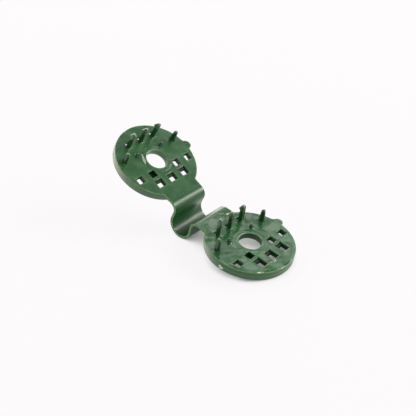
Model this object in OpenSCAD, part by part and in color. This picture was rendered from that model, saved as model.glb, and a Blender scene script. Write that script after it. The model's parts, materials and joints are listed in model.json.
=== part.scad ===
// Shade net clip: two spiked discs on a folding strap with a cradle for a support wire.
// One moulding, drawn as its members. Millimetres, +Z up, lying open on a table.
// Each disc is drawn with its face at z = 0 and the body of the disc below it.

/* [Disc] */
// Diameter of each disc
disc_d = 36; // [32:1:44]
// Thickness of the face plate
plate_t = 1.4; // [1:0.1:1.8]
// Bevel on the edge of the face
bevel = 0.2; // [0.2:0.1:0.8]
// Height of the rim, from the face to its lower edge
rim_h = 3.7; // [3.4:0.1:6]
// Wall of the skirt under the rim
skirt_t = 1; // [0.8:0.1:1.1]
// Width of the pry tab
tab_w = 4.2; // [3:0.2:8]
// How far the pry tab stands out from the rim
tab_out = 2.2; // [1:0.2:4]

/* [Eyelet] */
// Bore of the cord eyelet in the middle of a disc
eyelet_d = 9.2; // [6:0.2:9.6]
// Wall of the eyelet
eyelet_t = 1.1; // [0.8:0.1:1.3]
// Length of the eyelet, from the face down
eyelet_h = 2.7; // [2:0.1:3.3]

/* [Spikes and sockets] */
// Distance of the tall spikes and of their slots from the middle of the disc
tall_row = 10.5; // [10:0.1:11.5]
// Distance of the other spikes and of their sockets from the middle of the disc
short_row = 5.1; // [4.8:0.1:5.4]
// Distance of the medium spikes and of their sockets from the edge of the disc
medium_edge = 3.3; // [3.2:0.1:4]
// Spacing of the tall spikes, and of the short ones from the middle line
spike_pitch = 6.9; // [6.6:0.1:7]
// Height of the tall barbed spikes
tall_h = 7.8; // [6:0.1:9]
// Thickness of a tall spike at its foot
tall_foot = 2; // [1.4:0.1:2.2]
// Thickness of a tall spike below its tip
tall_neck = 1.5; // [1:0.1:1.6]
// Width of a tall spike across its barb
tall_w = 1.9; // [1.2:0.1:2.2]
// How far the barb stands out from the neck
barb_out = 0.5; // [0.3:0.1:0.6]
// Length of the sloped side of the barb
barb_l = 1.3; // [0.8:0.1:2]
// Height of the medium spikes
medium_h = 5.4; // [3:0.1:7]
// Height of the short spikes
short_h = 1.8; // [1:0.1:2.2]
// Foot diameter of the medium spikes
medium_foot_d = 2.3; // [1.4:0.1:2.4]
// Tip diameter of the medium spikes
medium_tip_d = 1.7; // [0.8:0.1:1.8]
// Foot diameter of the short spikes
short_foot_d = 2.1; // [1.4:0.1:2.3]
// Tip diameter of the short spikes
short_tip_d = 0.9; // [0.6:0.1:1.2]
// Length of a slot for a tall spike, along the clip
slot_l = 4.2; // [3.9:0.1:4.4]
// Extra length of a slot on the side where its spike swings in
slot_lead = 0.4; // [0.4:0.1:0.6]
// Width of a slot for a tall spike
slot_w = 3.5; // [2.8:0.1:3.6]
// Side of the square sockets
socket_w = 3.1; // [2.9:0.1:3.2]
// Depth of the slots and sockets, from the face down
socket_h = 2.4; // [2:0.1:2.6]
// Floor of the one socket that is closed
cup_floor = 0.6; // [0.4:0.1:0.8]
// Thickness of the ribs below the face plate and of the wall of the closed socket
rib_t = 0.7; // [0.5:0.1:0.8]
// Length of the relief hole below a barb, along the clip
relief_l = 1; // [0.6:0.1:1.2]
// Width of the relief hole below a barb
relief_w = 1.2; // [0.8:0.1:1.6]
// Gap between a tall spike and its relief hole
relief_gap = 0.2; // [0.2:0.1:0.5]

/* [Strap] */
// Width of the strap
strap_w = 18; // [12:0.5:22]
// Thickness of the strap
strap_t = 1.1; // [0.8:0.1:1.3]
// Flat length of an arm between the disc and its shoulder
arm_flat = 1.8; // [1.5:0.1:6]
// Radius of a shoulder, on its upper side
shoulder_r = 3.75; // [2.5:0.05:3.9]
// Outward lean of the wall below a shoulder, in degrees
wall_lean = 6; // [2:0.5:8]
// Inside diameter of the cradle, which holds the wire
cradle_d = 8.9; // [8.8:0.1:12]
// Straight wall of the cradle between its round and the hinge line
cradle_wall = 2.1; // [1.5:0.1:3]
// Gap between the two faces when the clip is closed
closed_gap = 0.6; // [0.4:0.1:1.2]
// Bend of each hinge line as the clip lies open, in degrees up from flat
rest_fold = 11; // [9:1:20]
// Clearance round the knuckle of a hinge line
hinge_gap = 0.05; // [0.04:0.01:0.08]

/* [Hidden] */
$fn = 96;
moulding_green = [0.13, 0.38, 0.2];
disc_r = disc_d / 2;
eyelet_od = eyelet_d + 2 * eyelet_t;
through = 4 * rim_h;
// How far a straight stretch of the strap reaches into the bend that it goes on from
weld = 0.02;

// Places on a disc, each [along the clip, across it]
tall_places = [for (i = [-1:1]) [-tall_row, i * spike_pitch]];
medium_y = sqrt(pow(disc_r - medium_edge, 2) - pow(short_row, 2));
medium_places = [for (i = [-1, 1]) [-short_row, i * medium_y]];
short_places = [for (i = [-1, 1]) [-short_row, i * spike_pitch]];
open_places = concat([for (p = medium_places) [-p[0], p[1]]], [[short_row, spike_pitch]]);
cup_place = [short_row, -spike_pitch];
slot_from = tall_row - slot_l / 2 - slot_lead;
slot_to = tall_row + slot_l / 2;
relief_x = -tall_foot / 2 - relief_gap - relief_l / 2;

// Strap, measured on the middle of its thickness: the cradle in its own frame, with the two
// hinge lines at x = -half_span and half_span and z = 0
cradle_lean = rest_fold - wall_lean;
cradle_r = (cradle_d + strap_t) / 2;
half_span = cradle_r * cos(cradle_lean) - cradle_wall * sin(cradle_lean);
cradle_z = -cradle_r * sin(cradle_lean) - cradle_wall * cos(cradle_lean);

// One arm in the frame of the right disc: the hinge depth lets the faces close to closed_gap
hinge_z = closed_gap / 2 - half_span;
shoulder_turn = 90 - wall_lean;
shoulder_x = -disc_r - arm_flat;
shoulder_run = (shoulder_r - strap_t / 2) * tan(shoulder_turn / 2);
hinge_x = shoulder_x - shoulder_run + (hinge_z + strap_t / 2) * tan(wall_lean);
arm_wall = (-hinge_z - strap_t / 2) / cos(wall_lean) - shoulder_run;

// The cradle and the left disc in the frame of the right disc, as the clip lies open
mid_x = hinge_x - half_span * cos(rest_fold);
mid_z = hinge_z + half_span * sin(rest_fold);
left_turn = 2 * rest_fold;
left_x = 2 * mid_x - hinge_x + hinge_x * cos(left_turn) - hinge_z * sin(left_turn);
left_z = 2 * mid_z - hinge_z - hinge_x * sin(left_turn) - hinge_z * cos(left_turn);

// The clip lies on the round of its cradle and on the far edge of the right rim
cradle_out_r = cradle_d / 2 + strap_t;
foot_x = disc_r - mid_x - cradle_z * sin(rest_fold);
foot_z = -rim_h - mid_z - cradle_z * cos(rest_fold);
rest_tilt = atan2(foot_z, foot_x) + asin(cradle_out_r / norm([foot_x, foot_z]));
left_tilt = rest_tilt + left_turn;

// Shift that puts the origin below the middle of the whole clip
reach_right = disc_r * cos(rest_tilt) - bevel * sin(rest_tilt);
reach_left = left_x * cos(rest_tilt) + left_z * sin(rest_tilt)
    - disc_r * cos(left_tilt) - rim_h * sin(left_tilt);
rest_x = -(reach_right + reach_left) / 2;
rest_y = -tab_out / 2;
rest_z = disc_r * sin(rest_tilt) + rim_h * cos(rest_tilt);

// Names of the members
SIDES = ["right", "left"];
DISC_PARTS = ["face_plate", "skirt", "eyelet", "socket_frame", "pry_tab", "strap_arm"];
SPIKES = ["tall_spike_1", "tall_spike_2", "tall_spike_3", "medium_spike_1", "medium_spike_2",
    "short_spike_1", "short_spike_2"];
NODES = concat([for (s = SIDES) for (p = concat(DISC_PARTS, SPIKES)) str(s, "_", p)], ["cradle"]);
node = "all";

function shown(name) = node == "all" || node == name;

// Frame of the right disc
module on_right() {
    translate([rest_x, rest_y, rest_z]) rotate([0, rest_tilt, 0]) children();
}

// Frame of a disc
module on_disc(side) {
    if (side == "right") on_right() children();
    else on_right() translate([left_x, 0, left_z]) rotate([0, left_turn, 0]) children();
}

// Frame of the cradle, midway between the hinge lines
module on_cradle() {
    on_right() translate([mid_x, 0, mid_z]) rotate([0, rest_fold, 0]) children();
}

// Box centred on x and y, from z = -depth up to z = 0
module slab(length, width, depth) {
    translate([-length / 2, -width / 2, -depth]) cube([length, width, depth]);
}

// Cylinder that hangs down from z = 0
module disc(diameter, depth) {
    translate([0, 0, -depth]) cylinder(d = diameter, h = depth);
}

// Round face plate with its bevelled edge, before any hole is made in it
module plate_blank() {
    translate([0, 0, -bevel]) disc(disc_d, plate_t - bevel);
    translate([0, 0, -bevel]) cylinder(d1 = disc_d, d2 = disc_d - 2 * bevel, h = bevel);
}

// Slots and open sockets as blocks down to a depth
module socket_blocks(depth) {
    for (p = tall_places) translate([(slot_from + slot_to) / 2, p[1], 0])
        slab(slot_to - slot_from, slot_w, depth);
    for (p = open_places) translate(p) slab(socket_w, socket_w, depth);
}

// The closed socket as a block with a wall on every side, down to a depth
module cup_block(wall, depth) {
    translate(cup_place) slab(socket_w + 2 * wall, socket_w + 2 * wall, depth);
}

// Flat round plate that carries the spikes, with the slots, sockets and relief holes through it
module face_plate() {
    color(moulding_green) difference() {
        plate_blank();
        translate([0, 0, plate_t]) {
            disc(eyelet_od, through);
            socket_blocks(through);
            cup_block(0, through);
        }
        for (p = tall_places) translate([p[0] + relief_x, p[1], plate_t])
            slab(relief_l, relief_w, through);
    }
}

// Turned-down rim below the face plate
module skirt() {
    color(moulding_green) translate([0, 0, -plate_t]) difference() {
        disc(disc_d, rim_h - plate_t);
        translate([0, 0, plate_t]) disc(disc_d - 2 * skirt_t, through);
    }
}

// Tube round the cord hole, level with the face
module eyelet() {
    color(moulding_green) difference() {
        disc(eyelet_od, eyelet_h);
        translate([0, 0, plate_t]) disc(eyelet_d, through);
    }
}

// Ribs below the face plate: a bar between the two rows of holes, ribs along the clip midway between
// the slots, and the cup that closes one socket
module socket_frame() {
    bar_from = short_row + socket_w / 2;
    bar_span = 2 * medium_y + socket_w;
    rib_from = short_row - socket_w / 2;
    color(moulding_green) difference() {
        intersection() {
            union() {
                translate([(bar_from + slot_from) / 2, 0, 0])
                    slab(slot_from - bar_from, bar_span, socket_h);
                for (i = [-1.5:1.5]) translate([(rib_from + disc_r) / 2, i * spike_pitch, 0])
                    slab(disc_r - rib_from, rib_t, socket_h);
                cup_block(rib_t, socket_h + cup_floor);
            }
            disc(disc_d - 2 * skirt_t, rim_h);
        }
        translate([0, 0, plate_t]) disc(disc_d, 2 * plate_t);
        disc(eyelet_od, through);
        socket_blocks(through);
        cup_block(0, socket_h);
    }
}

// Tab on the rim for prising the clip open, with a round end
module pry_tab() {
    end_y = disc_r + tab_out - tab_w / 2;
    color(moulding_green) difference() {
        union() {
            translate([0, end_y / 2, 0]) slab(tab_w, end_y, plate_t);
            translate([0, end_y, 0]) disc(tab_w, plate_t);
        }
        plate_blank();
    }
}

// Tall spike: tapered post with a round tip and a barb that faces the outer edge of the disc
module tall_spike() {
    tip_r = tall_neck / 2;
    tip_z = tall_h - tip_r;
    color(moulding_green) rotate([90, 0, 0]) linear_extrude(height = tall_w, center = true) {
        polygon([[-tall_foot / 2, 0], [tall_foot / 2, 0], [tip_r, tip_z], [-tip_r, tip_z]]);
        translate([0, tip_z]) circle(d = tall_neck);
        polygon([[-tip_r, tip_z], [-tip_r - barb_out, tip_z - barb_l],
            [0, tip_z - barb_l - barb_out], [0, tip_z]]);
    }
}

// Round spike: a cone with a ball tip
module cone_spike(height, foot_d, tip_d) {
    color(moulding_green) {
        cylinder(d1 = foot_d, d2 = tip_d, h = height - tip_d / 2);
        translate([0, 0, height - tip_d / 2]) sphere(d = tip_d);
    }
}

// Stretch of strap bent round an axis along y: it starts at an angle up from x and turns on
module strap_bend(inner_r, start, turn) {
    rotate([90, 0, 0]) rotate([0, 0, start]) rotate_extrude(angle = turn)
        translate([inner_r, -strap_w / 2]) square([strap_t, strap_w]);
}

// Straight stretch of strap that hangs down from z = 0
module strap_wall(length) {
    slab(strap_t, strap_w, length);
}

// Arm of the right disc: flat root, shoulder, and wall down to the knuckle on the hinge line
module strap_arm() {
    color(moulding_green) union() {
        difference() {
            translate([shoulder_x / 2, 0, 0]) slab(-shoulder_x, strap_w, strap_t);
            plate_blank();
            translate([0, 0, -bevel]) disc(disc_d, rim_h);
        }
        translate([shoulder_x, 0, -shoulder_r])
            strap_bend(shoulder_r - strap_t, 90, shoulder_turn);
        translate([hinge_x, 0, hinge_z]) rotate([0, wall_lean, 0]) {
            translate([0, 0, arm_wall + weld]) strap_wall(arm_wall + weld);
            rotate([90, 0, 0]) cylinder(d = strap_t, h = strap_w, center = true);
        }
    }
}

// Middle of the strap: a round trough with a straight wall up to each hinge line, where a hollow
// takes the knuckle and the inner lip is cut back so that the arm can fold in
module cradle() {
    lip_z = strap_t / 2 + hinge_gap;
    color(moulding_green) difference() {
        union() {
            translate([0, 0, cradle_z])
                strap_bend(cradle_d / 2, 180 - cradle_lean, 180 + 2 * cradle_lean);
            for (s = [-1, 1]) translate([s * half_span, 0, 0]) rotate([0, -s * cradle_lean, 0])
                strap_wall(cradle_wall + weld);
        }
        for (s = [-1, 1]) translate([s * half_span, 0, 0]) rotate([0, -s * cradle_lean, 0]) {
            rotate([90, 0, 0])
                cylinder(r = lip_z, h = 2 * strap_w, center = true);
            translate([-s * strap_t, 0, strap_t]) slab(2 * strap_t, 2 * strap_w, strap_t + lip_z);
        }
    }
}

for (side = SIDES) {
    if (shown(str(side, "_face_plate"))) on_disc(side) face_plate();
    if (shown(str(side, "_skirt"))) on_disc(side) skirt();
    if (shown(str(side, "_eyelet"))) on_disc(side) eyelet();
    if (shown(str(side, "_socket_frame"))) on_disc(side) socket_frame();
    if (shown(str(side, "_pry_tab"))) on_disc(side) pry_tab();
    for (i = [0:2]) {
        if (shown(str(side, "_tall_spike_", i + 1))) on_disc(side) translate(tall_places[i]) tall_spike();
    }
    for (i = [0:1]) {
        if (shown(str(side, "_medium_spike_", i + 1)))
            on_disc(side) translate(medium_places[i]) cone_spike(medium_h, medium_foot_d, medium_tip_d);
        if (shown(str(side, "_short_spike_", i + 1)))
            on_disc(side) translate(short_places[i]) cone_spike(short_h, short_foot_d, short_tip_d);
    }
}
if (shown("right_strap_arm")) on_disc("right") strap_arm();
if (shown("left_strap_arm")) on_disc("left") mirror([1, 0, 0]) strap_arm();
if (shown("cradle")) on_cradle() cradle();
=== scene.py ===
"""Shade net clip: one moulding in dark green polypropylene, two spiked discs on a folding strap."""
import json
import math

import bmesh
import bpy
import numpy as np
from mathutils import Matrix, Vector
from mathutils.geometry import delaunay_2d_cdt


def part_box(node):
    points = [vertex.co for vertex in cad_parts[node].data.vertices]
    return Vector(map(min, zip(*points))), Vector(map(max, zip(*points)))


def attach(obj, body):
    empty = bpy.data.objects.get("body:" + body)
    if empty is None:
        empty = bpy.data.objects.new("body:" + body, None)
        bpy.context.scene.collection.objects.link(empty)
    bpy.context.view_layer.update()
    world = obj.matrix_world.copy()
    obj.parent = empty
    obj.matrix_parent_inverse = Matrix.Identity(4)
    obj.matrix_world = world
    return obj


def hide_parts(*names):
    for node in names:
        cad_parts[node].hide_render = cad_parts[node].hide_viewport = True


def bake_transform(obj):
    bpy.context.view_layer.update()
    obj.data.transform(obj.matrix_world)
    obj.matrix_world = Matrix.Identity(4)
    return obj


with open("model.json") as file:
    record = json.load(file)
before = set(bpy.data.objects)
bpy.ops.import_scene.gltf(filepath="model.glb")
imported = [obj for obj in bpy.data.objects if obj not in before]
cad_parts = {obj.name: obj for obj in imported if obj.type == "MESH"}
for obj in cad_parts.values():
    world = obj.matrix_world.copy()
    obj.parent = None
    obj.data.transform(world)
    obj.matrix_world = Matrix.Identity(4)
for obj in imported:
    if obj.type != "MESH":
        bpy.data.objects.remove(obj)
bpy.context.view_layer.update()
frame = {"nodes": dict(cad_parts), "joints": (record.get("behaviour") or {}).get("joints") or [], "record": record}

# Face plates
# The flat top of each disc: 1.4 mm of moulded plastic with a crisp edge, a tab to prise the clip open,
# a neck that runs on into the strap, and the holes that take the spikes of the other disc.
mm = 0.001
sides = ("right", "left")
strap_side = {"right": -1, "left": 1}
skirt_low, skirt_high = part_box("right_skirt")
disc_r = (skirt_high.y - skirt_low.y) / 2 / mm
plate_t = 1.4
plate_edge = 0.2
strap_w = 18.0
strap_t = 1.1
strap_edge = 0.22
neck_end = disc_r + 1.0
neck_fillet = 0.3
neck_thins = (disc_r - 1.2, disc_r + 0.6)
tab_half = 2.1
tab_out = 2.2
tab_fillets = (0.35, 1.6)
tab_rounds = (disc_r + 0.2, disc_r + 1.0)
eyelet_seat_r = 5.4
eyelet_seat_edge = 0.02
tall_row = 10.5
short_row = 5.1
spike_pitch = 6.9
medium_edge = 3.3
medium_v = math.sqrt((disc_r - medium_edge) ** 2 - short_row ** 2)
tall_places = (-spike_pitch, 0.0, spike_pitch)
slot_ends = {"right": (8.0, 9.1, 12.6), "left": (8.2, 9.3, 11.85)}
slot_half = {"right": 1.75, "left": 1.85}
slot_ledge = (0.55, 0.62)
socket_half = 1.55
socket_places = (-medium_v, -spike_pitch, spike_pitch, medium_v)
sockets = [(short_row, v, socket_half, socket_half) for v in socket_places]
hole_edge = 0.1
hole_corner = 0.22
collar_h = 0.6
collar_t = 0.4
core_middle = {"right": -12.2, "left": -11.95}
core_half = {"right": 0.5, "left": 0.62}
core_half_w = 0.9
core_corner = 0.2
core_edge = 0.08


def disc_frame(side):
    """Middle of a disc's face in metres, and its axes as rows: along the clip, across it, out of the face.
    The cord eyelet has the disc's axis, and its bore starts level with the face."""
    bore = next(m for m in frame["record"]["mounts"] if m["name"] == side + "_cord_eyelet")
    out = np.array(bore["axis"]) / np.linalg.norm(bore["axis"])
    across = np.array([0.0, 1.0, 0.0])
    middle = np.array(bore["pos_m"]) + out * bore["dims"]["length_mm"] * mm / 2
    return middle, np.array([np.cross(across, out), across, out])


def on_disc(side, points):
    """Points in millimetres on a disc, set in place in metres: the middle plus each axis times its share."""
    middle, axes = disc_frame(side)
    return middle + (np.asarray(points) * mm) @ axes


def ease(value, low, high):
    """Rises smoothly from 0 at low to 1 at high: 3 t squared less 2 t cubed."""
    t = np.clip((value - low) / (high - low), 0, 1)
    return t * t * (3 - 2 * t)


def arc(middle, radius, start, stop, steps, bulge=1):
    """Points round a circle between two angles in degrees, each with its normal. The plastic is inside the
    round where bulge is 1 and outside it where bulge is -1."""
    turn = np.radians(np.linspace(start, stop, steps))
    ray = np.column_stack([np.cos(turn), np.sin(turn)])
    return np.column_stack([np.asarray(middle) + radius * ray, bulge * ray])


def straight(start, stop, normal, steps):
    """Points on a straight line, all with the same normal."""
    share = np.linspace(0, 1, steps)[:, None]
    line = np.asarray(start) * (1 - share) + np.asarray(stop) * share
    return np.column_stack([line, np.tile(normal, (steps, 1))])


def joined(*stretches, same=1e-4):
    """Stretches of an outline one after the other, without the points that two of them share."""
    path = np.concatenate(stretches)
    step = np.linalg.norm(np.diff(path[:, :2], axis=0), axis=1)
    return path[np.r_[True, step > same]]


def plate_outline(fillet_1, fillet_2):
    """Open outline of a plate from one corner of its neck round the disc to the other: the circle of the
    disc, fillets into the two sides of the neck, and a round tab with a fillet on either side. A fillet's
    middle lies one radius away from both of the circles that it joins."""
    half = strap_w / 2
    neck_u = -math.sqrt((disc_r + neck_fillet) ** 2 - (half + neck_fillet) ** 2)
    neck_at = math.degrees(math.atan2(half + neck_fillet, -neck_u))
    tab_v = disc_r + tab_out - tab_half
    roots = []
    for fillet in (fillet_1, fillet_2):
        far, near = disc_r + fillet, tab_half + fillet
        v = (far ** 2 - near ** 2 + tab_v ** 2) / (2 * tab_v)
        u = math.sqrt(far ** 2 - v ** 2)
        roots.append((u, v, math.degrees(math.atan2(v, u)), math.degrees(math.atan2(v - tab_v, u))))
    (u_1, v_1, disc_1, tab_1), (u_2, v_2, disc_2, tab_2) = roots
    return joined(
        straight((-neck_end, -half), (neck_u, -half), (0, -1), steps=6),
        arc((neck_u, -half - neck_fillet), neck_fillet, 90, neck_at, steps=9, bulge=-1),
        arc((0, 0), disc_r, neck_at - 180, disc_1, steps=200),
        arc((u_1, v_1), fillet_1, disc_1 - 180, tab_1 - 180, steps=9, bulge=-1),
        arc((0, tab_v), tab_half, tab_1, 180 - tab_2, steps=30),
        arc((-u_2, v_2), fillet_2, -tab_2, -disc_2, steps=12, bulge=-1),
        arc((0, 0), disc_r, 180 - disc_2, 180 - neck_at, steps=60),
        arc((neck_u, half + neck_fillet), neck_fillet, -neck_at, -90, steps=9, bulge=-1),
        straight((neck_u, half), (-neck_end, half), (0, 1), steps=6))


def square_hole(u, v, half_u, half_v, corner=hole_corner, steps=6):
    """Closed outline of a hole with rounded corners."""
    a, b = half_u - corner, half_v - corner
    return joined(
        arc((u + a, v + b), corner, 0, 90, 6, -1),
        straight((u + a, v + half_v), (u - a, v + half_v), (0, -1), steps),
        arc((u - a, v + b), corner, 90, 180, 6, -1),
        straight((u - half_u, v + b), (u - half_u, v - b), (1, 0), steps),
        arc((u - a, v - b), corner, 180, 270, 6, -1),
        straight((u - a, v - half_v), (u + a, v - half_v), (0, 1), steps),
        arc((u + a, v - b), corner, 270, 359, 6, -1),
        straight((u + half_u, v - b), (u + half_u, v + b), (-1, 0), steps)[:-1])


def edge_rows(path, inset, drop):
    """An outline carried down a wall: row by row it moves into the plastic by the inset and down by the
    drop."""
    every = np.ones(len(path))
    inset = np.stack([i * every for i in inset])
    drop = np.stack([d * every for d in drop])
    flat = path[None, :, :2] - inset[..., None] * path[None, :, 2:]
    return np.concatenate([flat, -drop[..., None]], axis=2)


def rounded_edge(path, top, thick, low, hold=0.1):
    """Wall below an outline with a quarter round of the top radius above it and of the low radius below it.
    A row close under the upper round holds the light along the edge narrow."""
    turn = np.radians(np.linspace(0, 90, 6))
    under = np.radians(np.linspace(0, 90, 4))
    inset = [top * (1 - math.sin(a)) for a in turn] + [0.0] + [low * (1 - math.cos(a)) for a in under]
    drop = [top * (1 - math.cos(a)) for a in turn] + [top + hold]
    return edge_rows(path, inset, drop + [thick - low * (1 - math.sin(a)) for a in under])


def collared(path, net):
    """Wall of a hole that goes on below the plate as a low collar: across its lower rim, and back up
    outside."""
    low = plate_t + collar_h
    return np.concatenate([net, edge_rows(path, [0, collar_t, collar_t], [low, low, plate_t])])


def slot_wall(side, v):
    """Wall of a slot for a barbed spike. It is plumb on three sides. On the side of the eyelet it has a ledge
    below the face, so each row above the ledge is stretched from the far end of the slot."""
    start, through, stop = slot_ends[side]
    path = square_hole((through + stop) / 2, v, (stop - through) / 2, slot_half[side])
    inset = [hole_edge, 0.3 * hole_edge, 0, 0, 0]
    net = edge_rows(path, inset, [0, 0.4 * hole_edge, hole_edge, *slot_ledge])
    stretch = np.array([1, 1, 1, 1, 0])[:, None] * (through - start) / (stop - through)
    net[..., 0] = net[..., 0] - (stop - net[..., 0]) * stretch
    return collared(path, net)


def net_faces(rows, columns, wrap_rows=False, wrap_columns=False):
    """Quads of a net of points stored row by row."""
    number = np.arange(rows * columns).reshape(rows, columns)
    number = np.concatenate([number, number[:1]]) if wrap_rows else number
    number = np.concatenate([number, number[:, :1]], axis=1) if wrap_columns else number
    near, far = number[:-1], number[1:]
    return np.stack([near[:, :-1], near[:, 1:], far[:, 1:], far[:, :-1]], axis=2).reshape(-1, 4)


def within(points, loops, level=1e-12):
    """True for points inside the loops: a ray to one side crosses their edges an odd number of times. A level
    edge is given a very small rise."""
    start = np.concatenate(loops)
    stop = np.concatenate([np.roll(loop, -1, axis=0) for loop in loops])
    rise = stop[:, 1] - start[:, 1]
    rise = np.where(np.abs(rise) < level, level, rise)
    v = points[:, 1][:, None]
    crossing = start[:, 0] + (v - start[:, 1]) / rise * (stop[:, 0] - start[:, 0])
    spans = (start[:, 1] > v) != (stop[:, 1] > v)
    return (spans & (crossing > points[:, 0][:, None])).sum(axis=1) % 2 == 1


def filled(loops, spots, clearance=0.12, same=1e-6):
    """Flat net of triangles between loops: the Delaunay net on their edges and on the loose spots that lie
    clear of them, kept where the middle of a triangle is inside the first loop and outside the others."""
    rim = np.concatenate(loops)
    gap = np.linalg.norm(spots[:, None, :] - rim[None, ::2, :], axis=2).min(axis=1)
    spots = spots[(gap > clearance) & within(spots, loops)]
    first = np.cumsum([0] + [len(loop) for loop in loops])
    edges = np.concatenate([np.column_stack([np.arange(a, b), np.roll(np.arange(a, b), -1)])
                            for a, b in zip(first[:-1], first[1:])])
    corners = [Vector(p) for p in np.concatenate([rim, spots]).tolist()]
    points, _, faces, _, _, _ = delaunay_2d_cdt(corners, edges.tolist(), [], 0, same)
    points = np.array([tuple(p) for p in points])
    faces = np.array(faces)
    return points, faces[within(points[faces].mean(axis=1), loops)]


weld_gap = 0.0002 * mm


def piece_from(name, patches, finish, crease=38):
    """One closed mesh from patches, each (points in metres, list of face arrays, paleness per point): shared
    points are merged, faces turned outwards, and edges above the crease angle kept sharp."""
    points, faces, pale, count = [], [], [], 0
    for spots, blocks, paleness in patches:
        for block in blocks:
            faces += (np.asarray(block) + count).tolist()
        points.append(spots)
        pale.append(np.broadcast_to(paleness, len(spots)))
        count += len(spots)
    shape = bpy.data.meshes.new(name)
    shape.from_pydata(np.concatenate(points).tolist(), [], faces)
    layer = shape.attributes.new("pale", "FLOAT", "POINT")
    layer.data.foreach_set("value", np.concatenate(pale).astype(np.float32))
    work = bmesh.new()
    work.from_mesh(shape)
    bmesh.ops.remove_doubles(work, verts=work.verts, dist=weld_gap)
    bmesh.ops.recalc_face_normals(work, faces=work.faces)
    work.to_mesh(shape)
    work.free()
    shape.shade_smooth()
    shape.set_sharp_from_angle(angle=math.radians(crease))
    shape.materials.append(finish)
    piece = bpy.data.objects.new(name, shape)
    bpy.context.scene.collection.objects.link(piece)
    return piece


def add_node(tree, kind, inputs, **settings):
    """A node with its settings, and each input either linked or set."""
    node = tree.nodes.new(kind)
    for name, value in settings.items():
        setattr(node, name, value)
    for key, value in inputs.items():
        if isinstance(value, bpy.types.NodeSocket):
            tree.links.new(value, node.inputs[key])
        else:
            node.inputs[key].default_value = value
    return node


def clouds(tree, spot, **values):
    """Soft noise from 0 to 1 at a spot."""
    return add_node(tree, "ShaderNodeTexNoise", {"Vector": spot, **values}).outputs[0]


def ranged(tree, value, low, high, start=0.0, stop=1.0):
    """A value carried from the range low to high over to the range start to stop, and held at its ends."""
    ends = {"From Min": low, "From Max": high, "To Min": start, "To Max": stop}
    return add_node(tree, "ShaderNodeMapRange", {"Value": value, **ends}).outputs[0]


def worked_out(tree, operation, *values):
    """One sum, product or other step of arithmetic on values."""
    return add_node(tree, "ShaderNodeMath", dict(enumerate(values)), operation=operation).outputs[0]


def mixed(tree, share, first, second):
    """Mix of two colours: the first where the share is 0, the second where it is 1."""
    return add_node(tree, "ShaderNodeMix", {0: share, 6: first, 7: second}, data_type="RGBA").outputs[2]


def new_group(name, inputs, output):
    """An empty node group with named inputs, each (name, kind), and one named output."""
    group = bpy.data.node_groups.new(name, "ShaderNodeTree")
    for label, kind in inputs:
        group.interface.new_socket(label, in_out="INPUT", socket_type=kind)
    group.interface.new_socket(output[0], in_out="OUTPUT", socket_type=output[1])
    return group, group.nodes.new("NodeGroupInput").outputs, group.nodes.new("NodeGroupOutput").inputs


# Colour of the moulding: two greens in soft clouds where the melt cooled unevenly, and the paler green of thin
# edges and stretched skin, broken up by a finer cloud; this pale also carries painted highlights. Paleness below
# zero is
# painted shade: a near-black green down in holes and along the strap
hole_shade_green = (0.003, 0.014, 0.004, 1)
moulded_colour, given, result = new_group(
    "moulded_colour",
    [("Vector", "NodeSocketVector"), ("Deep", "NodeSocketColor"), ("Light", "NodeSocketColor"),
     ("Pale", "NodeSocketColor"), ("Paleness", "NodeSocketFloat")],
    ("Colour", "NodeSocketColor"))
melt = clouds(moulded_colour, given["Vector"], Scale=130.0, Detail=4.0, Roughness=0.6)
body = mixed(moulded_colour, ranged(moulded_colour, melt, 0.35, 0.68), given["Deep"], given["Light"])
speck = clouds(moulded_colour, given["Vector"], Scale=900.0, Detail=3.0)
broken = ranged(moulded_colour, speck, 0.3, 0.62, 0.45)
edge = worked_out(moulded_colour, "MULTIPLY", broken, given["Paleness"])
tint = mixed(moulded_colour, edge, body, given["Pale"])
# Painted shade: below zero the colour goes towards the near-black hole green
painted_shade = worked_out(moulded_colour, "MULTIPLY", given["Paleness"], -1.0)
moulded_colour.links.new(mixed(moulded_colour, painted_shade, tint, hole_shade_green), result["Colour"])

# Gloss of the moulding: smoother and duller patches of the mould's own polish, and no polish in a hole
hole_roughness = 0.9
moulded_gloss, given, result = new_group(
    "moulded_gloss",
    [("Vector", "NodeSocketVector"), ("Polished", "NodeSocketFloat"), ("Rubbed", "NodeSocketFloat"),
     ("Paleness", "NodeSocketFloat")],
    ("Roughness", "NodeSocketFloat"))
polish = clouds(moulded_gloss, given["Vector"], Scale=260.0, Detail=5.0, Roughness=0.62, Distortion=0.6)
gloss = ranged(moulded_gloss, polish, 0.32, 0.7, given["Polished"], given["Rubbed"])
matt = ranged(moulded_gloss, given["Paleness"], 0.0, -1.0, gloss, hole_roughness)
moulded_gloss.links.new(matt, result["Roughness"])

# Skin of the moulding: slow waves of the cooled surface and a fine orange peel, as one height
moulded_skin, given, result = new_group(
    "moulded_skin",
    [("Vector", "NodeSocketVector"), ("Waves", "NodeSocketFloat"), ("Peel", "NodeSocketFloat")],
    ("Height", "NodeSocketFloat"))
wave = clouds(moulded_skin, given["Vector"], Scale=150.0, Detail=0.5)
grain = clouds(moulded_skin, given["Vector"], Scale=2600.0, Detail=2.0)
slow = worked_out(moulded_skin, "MULTIPLY", wave, given["Waves"])
fine = worked_out(moulded_skin, "MULTIPLY_ADD", grain, given["Peel"], slow)
moulded_skin.links.new(fine, result["Height"])


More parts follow.
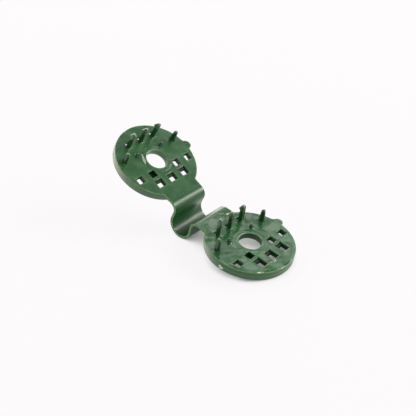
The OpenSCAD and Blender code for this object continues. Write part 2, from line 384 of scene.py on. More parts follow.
def moulded_plastic(name, deep, light, pale, polished, rubbed, waves, peel,
                    stretch=(1, 1, 1), turn=0.0, shift=(0, 0, 0), shine=0.65):
    """Finish of one family of pieces: the three groups above with their own values. Stretch and turn lay the
    clouds along a direction, such as the drawn lines round a rim, and shift moves them, in metres."""
    finish = bpy.data.materials.new(name)
    finish.use_nodes = True
    tree = finish.node_tree
    tree.nodes.clear()
    spot = add_node(tree, "ShaderNodeTexCoord", {}).outputs["Object"]
    lie = add_node(tree, "ShaderNodeMapping", {"Vector": spot, "Rotation": (0, turn, 0)})
    lay = add_node(tree, "ShaderNodeMapping", {"Vector": lie.outputs[0], "Scale": stretch, "Location": shift})
    paleness = add_node(tree, "ShaderNodeAttribute", {}, attribute_name="pale").outputs["Fac"]
    colour = add_node(tree, "ShaderNodeGroup", {}, node_tree=moulded_colour)
    gloss = add_node(tree, "ShaderNodeGroup", {}, node_tree=moulded_gloss)
    skin = add_node(tree, "ShaderNodeGroup", {}, node_tree=moulded_skin)
    for group, values in ((colour, {"Deep": (*deep, 1), "Light": (*light, 1), "Pale": (*pale, 1)}),
                          (gloss, {"Polished": polished, "Rubbed": rubbed}),
                          (skin, {"Waves": waves, "Peel": peel})):
        tree.links.new(lay.outputs[0], group.inputs["Vector"])
        for key, value in values.items():
            group.inputs[key].default_value = value
    tree.links.new(paleness, colour.inputs["Paleness"])
    tree.links.new(paleness, gloss.inputs["Paleness"])
    bump = add_node(tree, "ShaderNodeBump",
                    {"Strength": 0.6, "Distance": 0.04 * mm, "Height": skin.outputs[0]})
    shader = add_node(tree, "ShaderNodeBsdfPrincipled",
                      {"Base Color": colour.outputs[0], "Roughness": gloss.outputs[0],
                       "Normal": bump.outputs[0], "IOR": 1.49, "Specular IOR Level": shine})
    add_node(tree, "ShaderNodeOutputMaterial", {"Surface": shader.outputs[0]})
    return finish


deep_green = (0.016, 0.094, 0.024)
light_green = (0.024, 0.126, 0.033)
edge_green = (0.24, 0.46, 0.18)
face_finish = {
    "right": moulded_plastic("right_face_green", deep_green, light_green, edge_green, polished=0.13,
                             rubbed=0.27, waves=34.0, peel=0.10, shift=(0.0274, 0.0142, 0.006)),
    "left": moulded_plastic("left_face_green", deep_green, light_green, edge_green, polished=0.22,
                            rubbed=0.36, waves=16.0, peel=0.10)}

# Relief of a face, in millimetres: slow sinks, the witness lines that the mould's inserts left as a frame
# round every hole and as two lines across the right disc, a ring inside its rim, and a step round the eyelet.
# Ejector pins marked the underside
sink_rise = (0.030, 0.016)
witness_off = 0.42
witness_half = 0.12
witness_core = 0.06
witness_rise = 0.05
witness_lines = np.array([[(7.1, -15.2), (7.1, 15.2)], [(12.95, -10.4), (12.95, 11.2)]])
rim_line_r = 16.95
rim_line_rise = {"right": 0.035, "left": 0.0}
eyelet_step_r = 6.4
eyelet_step_half = 0.3
eyelet_step = {"right": -0.09, "left": 0.09}
relief_depth = 0.75
neck_level = (14.0, 15.5)
ejector_places = np.array([(-1.0, 11.6), (-1.0, -11.6), (-8.0, 3.5), (-8.0, -3.5)])
ejector_r = 1.5
ejector_edge = 0.05
ejector_sunk = 0.05
ejector_burr = 0.03
grid_start = (-20, -18)
grid_stop = 20.5


def square_holes(side):
    """Middle and half sizes of the seven holes of a disc, as rows."""
    start, _, stop = slot_ends[side]
    slots = [((start + stop) / 2, v, (stop - start) / 2, slot_half[side]) for v in tall_places]
    return np.array(slots + sockets)


def witness(side, u, v):
    """Distance from each point to the nearest witness line: to the long lines, or to the frames, which lie a
    little way outside the holes."""
    spot = np.stack([u, v], axis=-1)[:, None, :]
    hole = square_holes(side)
    outside = (np.abs(spot - hole[:, :2]) - hole[:, 2:]).max(axis=2)
    near = np.abs(outside - witness_off).min(axis=1)
    if side == "left":
        return near
    start, run = witness_lines[:, 0], witness_lines[:, 1] - witness_lines[:, 0]
    share = np.clip(((spot - start) * run).sum(axis=2) / (run * run).sum(axis=1), 0, 1)
    away = np.linalg.norm(spot - start - share[..., None] * run, axis=2).min(axis=1)
    return np.minimum(away, near)


def face_relief(side, u, v):
    """Height of a face over its plane: products of sines for the sinks, a bell curve across each witness line
    and the ring, and an eased step round the eyelet. The end of the neck is level."""
    r = np.hypot(u, v)
    off_neck = 1 - ease(u * strap_side[side], *neck_level)
    sinks = sink_rise[0] * np.sin(0.62 * u + 0.8) * np.sin(0.55 * v - 0.4)
    sinks = sinks + sink_rise[1] * np.sin(1.25 * u - 0.9 * v)
    lines = witness_rise * np.exp(-(witness(side, u, v) / witness_half) ** 2)
    ring = rim_line_rise[side] * np.exp(-((r - rim_line_r) / witness_half) ** 2)
    inside = 1 - ease(r, eyelet_step_r - eyelet_step_half, eyelet_step_r + eyelet_step_half)
    return (sinks + lines + ring) * off_neck + eyelet_step[side] * inside


def ejector_relief(spots):
    """What an ejector pin takes off the thickness of the plate: a sunk round, with a burr along its edge."""
    away = np.linalg.norm(spots[:, None, :] - ejector_places, axis=2).min(axis=1)
    burr = ejector_burr * (np.abs(away - ejector_r) < ejector_edge)
    return ejector_sunk * (away < ejector_r - ejector_edge) - burr


def loose_grid(step):
    """Even grid of points, a little larger than a disc with its neck and tab."""
    along, across = (np.arange(start, grid_stop, step) for start in grid_start)
    return np.stack(np.meshgrid(along, across), axis=-1).reshape(-1, 2)


def rings(radii, degrees):
    """Points on circles round the middle, one every so many degrees."""
    turn = np.radians(np.arange(0, 360, degrees))[:, None]
    return np.stack([radii * np.cos(turn), radii * np.sin(turn)], axis=-1).reshape(-1, 2)


def face_spots(side):
    """Loose points of a face: an even grid, five rows along each witness line, and rings along the line
    inside the rim and along the step round the eyelet."""
    share = np.linspace(0, 1, 60)[None, :, None, None]
    start, run = witness_lines[:, None, None, 0], (witness_lines[:, 1] - witness_lines[:, 0])[:, None, None]
    across = np.stack([-run[..., 1], run[..., 0]], axis=-1) / np.linalg.norm(run, axis=-1, keepdims=True)
    off = witness_half * np.arange(-2, 3)
    rows = (start + run * share + across * off[None, None, :, None]).reshape(-1, 2)
    frames = [square_hole(u, v, a + witness_off + d, b + witness_off + d, corner=0.1, steps=9)[:, :2]
              for u, v, a, b in square_holes(side) for d in off]
    steps = eyelet_step_r + np.linspace(-0.45, 0.45, 9)
    circles = [rings(rim_line_r + off, degrees=1.6), rings(steps, degrees=3)]
    return np.concatenate([loose_grid(step=0.8), rows, *frames, *circles])


def low_spots():
    """Loose points of the underside: a coarse grid, and close rings on each mark of an ejector pin."""
    mark = rings(ejector_r + np.array([-0.6, -0.12, 0.0, 0.12]), degrees=15)
    return np.concatenate([loose_grid(step=1.6)] + [place + mark for place in ejector_places])


def plate_holes(side):
    """Walls of the holes in a plate: three slots, four sockets, the hole behind each tall spike that the
    mould's core left below the barb, and the seat of the eyelet."""
    walls = [slot_wall(side, v) for v in tall_places]
    for socket in sockets:
        path = square_hole(*socket)
        walls.append(collared(path, rounded_edge(path, hole_edge, plate_t, 0.0)))
    for v in tall_places:
        core = square_hole(core_middle[side], v, core_half[side], core_half_w, core_corner)
        walls.append(rounded_edge(core, core_edge, plate_t, 0.0))
    seat = arc((0, 0), eyelet_seat_r, 0, 357, steps=120, bulge=-1)
    return walls + [rounded_edge(seat, eyelet_seat_edge, plate_t, 0.0)]


# Paleness of a plate: along the thin lips of its edges, on the neck and the witness lines, and below zero down in
# the holes, where it is painted shade
lip_shows = (-0.02, 0.03)
lip_fades = (0.25, 0.42)
rim_lip_pale = 0.9
hole_lip_pale = 0.2
neck_pale = 0.25
witness_pale = 0.45
hole_shade_amount = 0.85
hole_shade_depths = (0.1, 0.3)


def pale_lip(depth):
    """Paleness of a thin edge by its depth below the face: full along the round, and gone below it."""
    return ease(depth, *lip_shows) * (1 - ease(depth, *lip_fades))


def face_plate(side):
    """Plate of one disc. Its outline and holes get rounded edges, and nets fill the top and the underside."""
    towards = strap_side[side]
    outline = plate_outline(*tab_fillets)
    if towards > 0:
        outline = plate_outline(*tab_fillets[::-1])[::-1] * (-1, 1, -1, 1)
    on_neck = ease(outline[:, 0] * towards, *neck_thins)
    off_disc = np.maximum(on_neck, ease(outline[:, 1], *tab_rounds))
    radius = plate_edge + (strap_edge - plate_edge) * on_neck
    thick = plate_t + (strap_t - plate_t) * on_neck
    rim = rounded_edge(outline, radius, thick, strap_edge * off_disc)
    rows, columns = rim.shape[:2]
    ends = np.arange(rows) * columns
    neck_cut = np.concatenate([ends, ends[::-1] + columns - 1])[None, :]
    rim_lip = rim_lip_pale * pale_lip(-rim[..., 2].reshape(-1))
    rim_pale = np.maximum(rim_lip, neck_pale * np.tile(on_neck, rows))
    patches = [[rim.reshape(-1, 3), [net_faces(rows, columns), neck_cut], rim_pale]]
    holes = plate_holes(side)
    for net in holes:
        depth = -net[..., 2].reshape(-1)
        # Deeper in a hole the wall is painted dark: painted shade
        hole_lip_and_shade = hole_lip_pale * pale_lip(depth) - hole_shade_amount * ease(depth, *hole_shade_depths)
        patches.append([net.reshape(-1, 3), [net_faces(*net.shape[:2], wrap_columns=True)], hole_lip_and_shade])
    top, faces = filled([net[0, :, :2] for net in [rim] + holes], face_spots(side))
    on_line = witness(side, top[:, 0], top[:, 1]) < witness_core
    top_pale = witness_pale * on_line * (1 - ease(top[:, 0] * towards, *neck_level))
    patches.append([np.column_stack([top, np.zeros(len(top))]), [faces], top_pale])
    low, faces = filled([net[-1, :, :2] for net in [rim] + holes], low_spots())
    low_t = plate_t + (strap_t - plate_t) * ease(low[:, 0] * towards, *neck_thins) - ejector_relief(low)
    patches.append([np.column_stack([low, -low_t]), [faces], 0.0])
    for patch in patches:
        u, v, z = patch[0].T
        lifted = z + np.where(z > -relief_depth, face_relief(side, u, v), 0.0)
        patch[0] = on_disc(side, np.column_stack([u, v, lifted]))
    plate = piece_from(side + "_face", patches, face_finish[side])
    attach(plate, side + "_half")
    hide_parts(side + "_face_plate", side + "_pry_tab")


for side in sides:
    face_plate(side)

# Skirts
# The turned-down rim of each disc, moulded with the plate: 1 mm thick, with drawn lines round its outside,
# a faint parting line a little over halfway down, and rounded lower edges.
skirt_t = 1.0
rim_h = 3.7
rim_round = 0.2
rim_proud = 0.012
rim_steps = 200
lap_t = 0.15
lap_top = -0.32
lap_low = -1.15
parting_z = -2.2
parting_half = 0.04
parting_step = 0.03
root_fillet = ((0, -1.6), (0.12, -1.45), (0.3, -1.38), (0.3, -1.15))
# Painted highlight on each rim, a pale patch: its place and spread in degrees from the disc's left end
rim_highlight_green = {"right": (0.46, 0.54, 0.36), "left": (0.62, 0.72, 0.49)}
rim_highlight_at = {"right": 58, "left": 44}
rim_highlight_spread = {"right": 17, "left": 40}
rim_highlight_most = {"right": 0.6, "left": 1.0}
# Painted shade on the left rim where it nears the strap
rim_shade_by_strap = {"right": 0.0, "left": 0.1}
strap_shade_span = (112, 150)


def turned(side, profile, steps):
    """A closed profile of (radius, height) points carried round the axis of a disc."""
    turn = np.radians(np.linspace(0, 360, steps, endpoint=False))[:, None]
    r, z = np.asarray(profile).T
    net = np.stack([r * np.cos(turn), r * np.sin(turn), z + 0 * turn], axis=-1)
    return on_disc(side, net.reshape(-1, 3)), net_faces(steps, len(r), True, True)


def skirt_profile():
    """Section of a skirt: its outside laps over the wall of the plate, steps in at the parting line, turns
    under with two quarter rounds, and meets the underside of the plate in a small fillet."""
    outer_r = disc_r + rim_proud
    inner_r = disc_r - skirt_t
    parted_r = outer_r - parting_step
    outside = [(outer_r - lap_t, lap_low), (outer_r - lap_t, lap_top), (outer_r, lap_top),
               (outer_r, parting_z + parting_half), (parted_r, parting_z - parting_half)]
    outer_round = arc((parted_r - rim_round, rim_round - rim_h), rim_round, 0, -90, steps=5)
    inner_round = arc((inner_r + rim_round, rim_round - rim_h), rim_round, -90, -180, steps=5)
    root = [(inner_r - inward, z) for inward, z in root_fillet]
    return np.concatenate([outside, outer_round[:, :2], inner_round[:, :2], root])


profile = skirt_profile()
from_end = np.abs(np.linspace(-180, 180, rim_steps, endpoint=False))
for side in sides:
    _, axes = disc_frame(side)
    lean = math.atan2(axes[2][0], axes[2][2])
    rim_finish = moulded_plastic(side + "_rim_green", deep_green, light_green, rim_highlight_green[side],
                                 polished=0.24, rubbed=0.38, waves=1.0, peel=0.05,
                                 stretch=(0.25, 0.25, 5.0), turn=-lean, shine=0.55)
    points, faces = turned(side, profile, rim_steps)
    # The pale patch is a painted highlight, and the darkening near the strap is painted shade
    rim_light_and_shade = rim_highlight_most[side] * np.exp(-((from_end - rim_highlight_at[side]) / rim_highlight_spread[side]) ** 2)
    rim_light_and_shade = rim_light_and_shade - rim_shade_by_strap[side] * ease(from_end, *strap_shade_span)
    skirt = piece_from(side + "_rim", [(points, [faces], np.repeat(rim_light_and_shade, len(profile)))], rim_finish)
    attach(skirt, side + "_half")
    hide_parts(side + "_skirt")

# Eyelets
# The tube round the cord hole in the middle of each disc, moulded with the plate. It stands on the step of
# the face, has a thin rounded lip painted pale along its round as a highlight, and hangs 2.7 mm down inside the
# disc.
bore_r = 4.6
eyelet_t = 1.1
eyelet_h = 2.7
eyelet_round = 0.2
eyelet_steps = 160
eyelet_seat = ((eyelet_t, -1.6), (1.25, -1.35))
lip_section = np.array([(1.25, -0.06), (1.0, 0.01), (0.7, 0.03), (0.35, 0.04), (0.18, 0.02), (0.06, -0.05),
                        (0.01, -0.14), (0.0, -0.24)])
lip_highlight = [0.0, 0.0, 0.0, 0.2, 0.7, 0.8, 0.5]
# Painted shade darkens the right bore's wall and painted light lifts the left one
bore_painted_light_and_shade = {"right": -0.45, "left": 0.1}
outer_round = arc((bore_r + eyelet_t - eyelet_round, eyelet_round - eyelet_h), eyelet_round, -90, 0, steps=3)
inner_round = arc((bore_r + eyelet_round, eyelet_round - eyelet_h), eyelet_round, 180, 270, steps=3)
for side in sides:
    lip = lip_section + (bore_r, eyelet_step[side])
    seat = np.array(eyelet_seat) + (bore_r, 0)
    profile = np.concatenate([lip, [(bore_r, -plate_t)], inner_round[:, :2], outer_round[:, :2], seat])
    points, faces = turned(side, profile, eyelet_steps)
    pale = np.tile(np.array(lip_highlight + [bore_painted_light_and_shade[side]] * 4 + [0.0] * 6), eyelet_steps)
    eyelet = piece_from(side + "_cord_eyelet", [(points, [faces], pale)], face_finish[side])
    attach(eyelet, side + "_half")
    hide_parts(side + "_eyelet")

# Socket frames
# The ribs below each plate, moulded with it: a bar between the two rows of holes, ribs between the slots, and
# the cup that closes one socket. Their shape is the frame's own, with its edges rounded.
rib_edge = 0.1
rib_crease = 35
rib_rounds_over = 40
rib_finish = moulded_plastic("rib_green", deep_green, light_green, edge_green, polished=0.36, rubbed=0.55,
                             waves=1.5, peel=0.10)
for side in sides:
    shape = frame["nodes"][side + "_socket_frame"].data.copy()
    work = bmesh.new()
    work.from_mesh(shape)
    bmesh.ops.remove_doubles(work, verts=work.verts, dist=weld_gap)
    bmesh.ops.dissolve_limit(work, angle_limit=math.radians(1), verts=work.verts, edges=work.edges)
    work.to_mesh(shape)
    work.free()
    shape.shade_smooth()
    shape.set_sharp_from_angle(angle=math.radians(rib_crease))
    shape.materials.clear()
    shape.materials.append(rib_finish)
    ribs = bpy.data.objects.new(side + "_socket_ribs", shape)
    bpy.context.scene.collection.objects.link(ribs)
    rounding = ribs.modifiers.new("moulded edges", "BEVEL")
    rounding.width = rib_edge * mm
    rounding.segments = 2
    rounding.limit_method = "ANGLE"
    rounding.angle_limit = math.radians(rib_rounds_over)
    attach(ribs, side + "_half")
    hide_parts(side + "_socket_frame")

# Tall spikes
# Three posts on each disc, moulded with the plate, that go through the net and into the slots of the other
# disc: squarish, tapered, flared at the foot, with a rounded head and a barb below it that faces away from
# the eyelet.
tall_h = 7.8
tall_foot = 1.08
tall_back = 0.95
tall_neck = 0.85
tall_half_w = 1.1
tall_taper = 0.12
tall_flare = 0.25
tall_flare_fade = 0.2
tall_foot_highlight = 0.9
tall_barb_pale = 0.75
tall_tip_pale = 0.25
tip_z = tall_h - tall_neck
barb_out = 0.75
barb_rise = ((5.3, 0.0), (5.75, 0.92), (5.95, 1.0), (tip_z + 0.1, 0.0))
spike_root = 0.4
foot_fade = 0.4
spike_finish = moulded_plastic("spike_green", (0.011, 0.068, 0.017), (0.017, 0.092, 0.024),
                               (0.44, 0.60, 0.38), polished=0.10, rubbed=0.20, waves=1.5, peel=0.05)


def round_tip(levels, start, radius):
    """Share of a post's width that a half-round tip leaves at each height: the root of 1 less the square of
    the share climbed."""
    climbed = np.clip(levels - start, 0, None) / radius
    return np.sqrt(np.clip(1 - climbed ** 2, 0, 1))


def spike_net(levels, back, front, half_w, square, steps=36):
    """A post level by level: at each height a rounded outline whose reach is back on one side of the middle,
    front on the other and half_w across. Square is the power of the cosine and sine: 1 is an ellipse."""
    turn = np.linspace(0, 2 * np.pi, steps, endpoint=False)[None, :]
    c, s = np.cos(turn), np.sin(turn)
    reach = np.where(c < 0, back[:, None], front[:, None])
    u = reach * np.sign(c) * np.abs(c) ** square
    v = half_w[:, None] * np.sign(s) * np.abs(s) ** square
    return np.stack([u, v, levels[:, None] + 0 * turn], axis=-1)


def add_spike(side, name, place, net, pale, node, foot_highlight=0.0):
    """A spike in its place on a disc, closed below by the ring that is sunk in the plate. Its tip is pale, partly
    as stretched skin and partly as a painted highlight that is strongest on the side away from the eyelet, and a
    painted highlight lies on the side of the foot that faces the eyelet."""
    rows, columns = net.shape[:2]
    facing = np.cos(np.linspace(0, 2 * np.pi, columns, endpoint=False))[None, :]
    foot_glint = foot_highlight * np.exp(-np.abs(net[..., 2]) / foot_fade) * np.clip(facing, 0, 1) ** 2
    head_pale_and_highlight = pale[:, None] * (0.2 + 0.8 * np.clip(-facing, 0, 1))
    points = on_disc(side, (net + np.array([place[0], place[1], 0.0])).reshape(-1, 3))
    faces = [net_faces(rows, columns, wrap_columns=True), np.arange(columns)[None, :]]
    spike = piece_from(name, [(points, faces, (head_pale_and_highlight + foot_glint).reshape(-1))], spike_finish, 55)
    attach(spike, side + "_half")
    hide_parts(node)


levels = np.concatenate([
    [-spike_root], np.linspace(0, 0.6, 7), np.linspace(1.0, 5.0, 6), np.linspace(5.2, tip_z, 16),
    tip_z + tall_neck * np.sin(np.radians([15, 30, 45, 58, 70, 80, 86, 90]))])
left_over = round_tip(levels, tip_z, tall_neck)
share = np.clip(levels / tip_z, 0, 1)
flare = tall_flare * np.exp(-np.clip(levels, 0, None) / tall_flare_fade)
barb_z, barb_share = np.array(barb_rise).T
barb = np.interp(levels, barb_z, barb_share * barb_out)
front = tall_foot + (tall_neck - tall_foot) * share + flare
back = tall_back + (tall_neck - tall_back) * share + 0.4 * flare + barb
half_w = tall_half_w * (1 - tall_taper * share) + flare
tall_net = spike_net(levels, back * left_over, front * left_over, half_w * left_over, square=0.5)
# Pale barb and tip: partly stretched skin, partly painted highlight made one-sided in add_spike
tall_pale = tall_barb_pale * ease(levels, 4.9, 5.6)
tall_pale = tall_pale + tall_tip_pale * ease(levels, tall_h - 1.0, tall_h - 0.2)
for side in sides:
    for i, v in enumerate(tall_places):
        name = "%s_tall_spike_%d" % (side, i + 1)
        post = name.replace("spike", "post")
        add_spike(side, post, (-tall_row, v), tall_net, tall_pale, name, tall_foot_highlight)

# Medium and short spikes
# Two round tapered pins near the rim of each disc, and two low pips beside the eyelet, moulded with the
# plate. They keep the net from sliding, and go into the square sockets of the other disc.
pin_flare_fade = 0.18
pin_tip_pale = 0.95


def cone_net(height, foot_r, tip_r, foot_flare):
    """A round pin: straight taper from the foot to the tip's radius, a flared foot and a half-ball tip. With
    it comes its paleness by height."""
    ball = height - tip_r
    levels = np.concatenate([
        [-spike_root], np.linspace(0, 0.5, 6), np.linspace(0.55, ball, 10)[1:],
        ball + tip_r * np.sin(np.radians([15, 30, 45, 60, 72, 82, 90]))])
    reach = foot_r + (tip_r - foot_r) * np.clip(levels / ball, 0, 1)
    reach = reach + foot_flare * np.exp(-np.clip(levels, 0, None) / pin_flare_fade)
    reach = reach * round_tip(levels, ball, tip_r)
    pale = pin_tip_pale * ease(levels, height - 1.0, height - 0.2)
    return spike_net(levels, reach, reach, reach, square=1.0, steps=32), pale


medium_net, medium_pale = cone_net(height=5.4, foot_r=1.32, tip_r=0.88, foot_flare=0.2)
short_net, short_pale = cone_net(height=1.8, foot_r=1.05, tip_r=0.45, foot_flare=0.25)
for side in sides:
    for i, sign in ((1, -1), (2, 1)):
        name = "%s_medium_spike_%d" % (side, i)
        pin = name.replace("spike", "pin")
        add_spike(side, pin, (-short_row, sign * medium_v), medium_net, medium_pale, name)
        name = "%s_short_spike_%d" % (side, i)
        pip = name.replace("spike", "pip")
        add_spike(side, pip, (-short_row, sign * spike_pitch), short_net, short_pale, name)

# Strap
# The band that joins the discs, 18 mm wide and 1.1 mm thick, moulded with them: on each side a shoulder and
# a wall, and between the walls a round trough for the support wire. The walls bend as the clip folds, so the
# band is made as two halves that meet below the trough.
arm_flat = 1.8
shoulder_u = disc_r + arm_flat
shoulder_r = 3.75
wall_lean = 6.0
rest_fold = 11.0
cradle_r = 4.45
cradle_wall = 2.1
trough_r = cradle_r + strap_t / 2
trough_turn = 90 + rest_fold - wall_lean
strap_painted_shade = 0.22
strap_shade_run = (0.1, 2.4)
side_shows = (strap_w / 2 - 0.3, strap_w / 2 - 0.05)
corner_in = 0.1
corner_half = 0.14
sheen_run = 8.2
sheen_half = 2.2
sheen_across = (2.0, 9.0)
painted_sheen = {"right": 0.0, "left": 0.65}
hinges = {j["name"]: np.array(j["pos_m"]) for j in frame["joints"]}
strap_finish = moulded_plastic("strap_green", deep_green, light_green, (0.25, 0.48, 0.20), polished=0.18,
                               rubbed=0.30, waves=4.0, peel=0.04, stretch=(1.0, 0.35, 1.0))


def strap_path():
    """Middle line of half the strap beside the right disc, as (along, up) points with the upward normal:
    flat, a round shoulder, a straight wall to the hinge line and on to the cradle's round, and the trough
    turned the other way. Close rings at the ends hold the shading."""
    lean = np.radians(wall_lean)
    down = np.array([-np.sin(lean), -np.cos(lean)])
    side_on = np.array([down[1], -down[0]])
    flat_u = np.array([-neck_end, -neck_end - 0.02, -neck_end - 0.3, -shoulder_u + 0.05])
    flat = np.column_stack([flat_u, np.full(4, -strap_t / 2), np.zeros(4), np.ones(4)])
    shoulder = arc((-shoulder_u, -shoulder_r), shoulder_r - strap_t / 2, 90, 180 - wall_lean, steps=36)
    start = shoulder[-1, :2]
    middle, axes = disc_frame("right")
    hinge = (axes @ (hinges["right_fold"] - middle))[[0, 2]] / mm
    wall_run = np.linalg.norm(hinge - start) + cradle_wall
    wall = straight(start, start + wall_run * down, side_on, steps=18)
    hollow = wall[-1, :2] + trough_r * side_on
    low = -wall_lean - trough_turn
    turn = np.radians(np.r_[np.linspace(-wall_lean, low + 2.0, 44), low + 0.3, low])
    ray = np.column_stack([np.cos(turn), np.sin(turn)])
    return joined(flat, shoulder, wall, np.column_stack([hollow + trough_r * ray, -ray]))


def strap_section():
    """Outline of the strap's section as (across, up) points: a flat rectangle with rounded corners."""
    a, b = strap_w / 2 - strap_edge, strap_t / 2 - strap_edge
    return joined(
        arc((a, b), strap_edge, 0, 90, steps=6),
        straight((a, strap_t / 2), (-a, strap_t / 2), (0, 1), steps=28),
        arc((-a, b), strap_edge, 90, 180, steps=6),
        arc((-a, -b), strap_edge, 180, 270, steps=6),
        straight((-a, -strap_t / 2), (a, -strap_t / 2), (0, -1), steps=28),
        arc((a, -b), strap_edge, 270, 360, steps=6))


path = strap_path()
section = strap_section()
run = np.r_[0, np.cumsum(np.linalg.norm(np.diff(path[:, :2], axis=0), axis=1))]
# Pale sides, and a pale line along each corner that is brighter on top: partly the thin edge's paler green, partly
# painted highlight
on_side = ease(np.abs(section[:, 0]), *side_shows)
from_corner = np.abs(section[:, 1]) - strap_t / 2 + corner_in
corner_highlight = np.exp(-(from_corner / corner_half) ** 2) * np.where(section[:, 1] > 0, 1, 0.4)
# Painted shade: past the neck the strap's colour darkens, most in the walls and trough, and its gloss roughens
painted_shade = -strap_painted_shade * ease(run, *strap_shade_run)[:, None] * (1 - on_side)[None, :]
# Painted reflection: a pale patch on the back half of the left wall stands for the bright room it mirrors
sheen_patch = np.exp(-((run - sheen_run) / sheen_half) ** 2)[:, None]
sheen_patch = sheen_patch * ease(section[:, 0], *sheen_across)[None, :]
for side in sides:
    along = path[:, None, 0] + section[None, :, 1] * path[:, None, 2]
    up = path[:, None, 1] + section[None, :, 1] * path[:, None, 3]
    net = np.stack([-strap_side[side] * along, section[None, :, 0] + 0 * along, up], axis=-1)
    rows, columns = net.shape[:2]
    ends = np.stack([np.arange(columns), np.arange(columns) + (rows - 1) * columns])
    faces = [net_faces(rows, columns, wrap_columns=True), ends]
    pale = painted_shade + on_side * (0.2 + 0.8 * corner_highlight) + painted_sheen[side] * sheen_patch * (section[:, 1] > 0)
    strap = piece_from(side + "_strap", [(on_disc(side, net.reshape(-1, 3)), faces, pale.reshape(-1))],
                       strap_finish)
    _, axes = disc_frame(side)
    if side == "right":
        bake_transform(strap)
        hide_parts("right_strap_arm", "cradle")
    else:
        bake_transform(strap)
        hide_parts("left_strap_arm")

# Flash
# Flecks of torn plastic that trimming left on the right disc: one low on the rim, two on the edge of the face,
# two beside a slot and one on the neck. On the left disc a thin pale lump beside the eyelet is a painted
# highlight. Torn skin turns pale.
flash_finish = moulded_plastic("torn_flash", (0.48, 0.64, 0.34), (0.8, 0.9, 0.62), (0.85, 0.9, 0.7),
                               polished=0.45, rubbed=0.6, waves=1.5, peel=0.3)
streak_highlight_finish = moulded_plastic("painted_highlight_green", (0.22, 0.30, 0.22), (0.40, 0.46, 0.38), (0.5, 0.55, 0.5),
                               polished=0.3, rubbed=0.5, waves=1.5, peel=0.3)
flash_pale = 0.3
# Each fleck: angle on the disc, radius, height, half sizes along, out and up, phase of its ragged form
flash_places = [
    ("left_scuff_1", -112.8, 6.1, 0.10, (2.5, 0.55, 0.07), 1.2),
    ("right_rim_flash_1", -88.6, 17.95, -2.45, (1.1, 0.32, 0.92), 0.4),
    ("right_edge_flash_1", -40.8, 17.72, -0.06, (0.70, 0.28, 0.20), 1.7),
    ("right_edge_flash_2", -36.2, 17.75, -0.10, (0.60, 0.20, 0.16), 2.9),
    ("right_slot_flash_1", -6.4, 13.5, 0.03, (0.40, 0.20, 0.12), 0.9),
    ("right_slot_flash_2", -10.0, 13.9, 0.03, (0.32, 0.18, 0.11), 2.2),
    ("right_neck_flash_1", 160.3, 17.5, 0.01, (0.85, 0.42, 0.18), 3.1)]


def ragged_lump(size, phase, rows=13, columns=20):
    """A ball stretched to its three half sizes, whose radius swings with two sines of its angles."""
    polar = np.radians(np.linspace(0, 180, rows))[:, None]
    turn = np.radians(np.linspace(0, 360, columns, endpoint=False))[None, :]
    ragged = 1 + 0.15 * np.sin(2 * turn + phase) * np.sin(polar) + 0.12 * np.sin(4 * polar + 2 * phase)
    ball = np.stack([size[0] * np.cos(polar) + 0 * turn, size[1] * np.sin(polar) * np.cos(turn),
                     size[2] * np.sin(polar) * np.sin(turn)], axis=-1)
    return ball * ragged[..., None], net_faces(rows, columns, wrap_columns=True)


for name, at, r, z, size, phase in flash_places:
    lump, faces = ragged_lump(size, phase)
    a = math.radians(at)
    outward = np.array([math.cos(a), math.sin(a), 0.0])
    tangent = np.array([-math.sin(a), math.cos(a), 0.0])
    spots = r * outward + np.array([0, 0, z]) + lump @ np.array([tangent, outward, [0, 0, 1.0]])
    side = name.split("_")[0]
    patch = (on_disc(side, spots.reshape(-1, 3)), [faces], flash_pale)
    # The left lump is a painted highlight; the right ones are flash
    fleck = piece_from(name, [patch], streak_highlight_finish if side == "left" else flash_finish, 60)
    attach(fleck, side + "_half")

# Floor
# A plain white sheet that the clip lies on. Out in the open most of its white is its own, as the camera and
# the gloss see it, so the sheet stays even. Close to the clip it is only lit, and holds the shadow.
floor_reach = 4.0
floor_z = -0.03 * mm
own_white = 0.9
shadow_reach = 12 * mm
corners = [(-floor_reach, -floor_reach, floor_z), (floor_reach, -floor_reach, floor_z),
           (floor_reach, floor_reach, floor_z), (-floor_reach, floor_reach, floor_z)]
sheet = bpy.data.meshes.new("floor")
sheet.from_pydata(corners, [], [(0, 1, 2, 3)])
floor_finish = bpy.data.materials.new("white_sheet")
floor_finish.use_nodes = True
tree = floor_finish.node_tree
tree.nodes.clear()
seen = add_node(tree, "ShaderNodeLightPath", {}).outputs
direct = worked_out(tree, "MAXIMUM", seen["Is Camera Ray"], seen["Is Glossy Ray"])
direct = worked_out(tree, "MAXIMUM", direct, seen["Is Transmission Ray"])
clear = add_node(tree, "ShaderNodeAmbientOcclusion", {"Distance": shadow_reach}, samples=16).outputs["AO"]
own_share = worked_out(tree, "MULTIPLY", direct, ranged(tree, clear, 0.08, 0.65, 0.0, own_white))
lit = add_node(tree, "ShaderNodeBsdfDiffuse", {"Color": (0.93, 0.915, 0.92, 1)})
own = add_node(tree, "ShaderNodeEmission", {"Color": (0.985, 0.968, 0.976, 1), "Strength": 1.0})
both = add_node(tree, "ShaderNodeMixShader", {0: own_share, 1: lit.outputs[0], 2: own.outputs[0]})
add_node(tree, "ShaderNodeOutputMaterial", {"Surface": both.outputs[0]})
sheet.materials.append(floor_finish)
floor = bpy.data.objects.new("floor", sheet)
bpy.context.scene.collection.objects.link(floor)

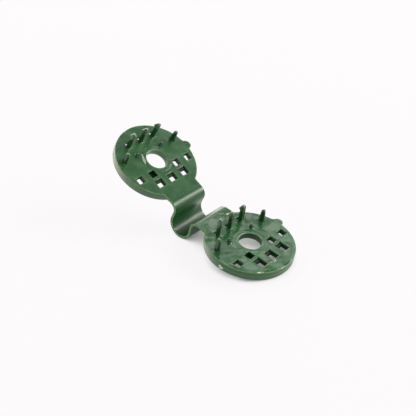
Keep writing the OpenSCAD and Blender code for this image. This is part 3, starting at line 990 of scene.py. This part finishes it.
# Light
# A white room that is lighter at the back: two low soft boxes behind, which draw the bright bands on the
# strap, two small ones above them for the gloss of the faces, and one on the left.
front_level = 0.22
back_level = 0.5
cream = (1.0, 0.97, 0.91)
white = (1.0, 1.0, 1.0)
world = bpy.data.worlds.new("white_room")
bpy.context.scene.world = world
world.use_nodes = True
tree = world.node_tree
tree.nodes.clear()
facing = add_node(tree, "ShaderNodeTexCoord", {}).outputs["Generated"]
split = add_node(tree, "ShaderNodeSeparateXYZ", {0: facing}).outputs
level = ranged(tree, split["Y"], -1.0, 1.0, front_level, back_level)
glow = add_node(tree, "ShaderNodeBackground", {"Color": (1, 1, 1, 1), "Strength": level})
add_node(tree, "ShaderNodeOutputWorld", {"Surface": glow.outputs[0]})
for name, spot, size, power, tone in (("back_left_box", (-1.80, 1.58, 0.75), (1.5, 1.3), 31.0, cream),
                                      ("back_right_box", (1.47, 1.61, 1.23), (1.5, 0.95), 45.0, cream),
                                      ("left_box", (-1.87, -0.75, 1.47), (1.2, 1.2), 17.0, white),
                                      ("high_left_box", (-0.93, 1.30, 1.86), (0.6, 0.4), 2.6, white),
                                      ("high_box", (-0.29, 1.81, 1.62), (0.8, 0.6), 3.5, white)):
    lamp = bpy.data.lights.new(name, "AREA")
    lamp.shape = "RECTANGLE"
    lamp.size, lamp.size_y = size
    lamp.energy = power
    lamp.color = tone
    box = bpy.data.objects.new(name, lamp)
    box.location = spot
    box.rotation_euler = (-Vector(spot)).to_track_quat("-Z", "Y").to_euler()
    bpy.context.scene.collection.objects.link(box)

# Camera
# The photograph's view: from the front and right, about thirty degrees up. Its place, its aim and the lens
# were fitted to the outlines, holes and spikes of both discs.
eye_spot = (0.156189, -0.176988, 0.155711)
ahead = Vector((-0.560458, 0.643074, -0.521865))
rightward = Vector((0.754977, 0.655745, -0.002759))
upward = Vector((-0.340437, 0.395543, 0.853023))
lens = bpy.data.cameras.new("photo_view")
lens.sensor_width = 36.0
lens.lens = 58.98
eye = bpy.data.objects.new("photo_view", lens)
turn = Matrix((rightward, upward, -ahead)).transposed().to_4x4()
eye.matrix_world = Matrix.Translation(eye_spot) @ turn
bpy.context.scene.collection.objects.link(eye)
bpy.context.scene.camera = eye
bpy.context.scene.view_settings.view_transform = "Standard"
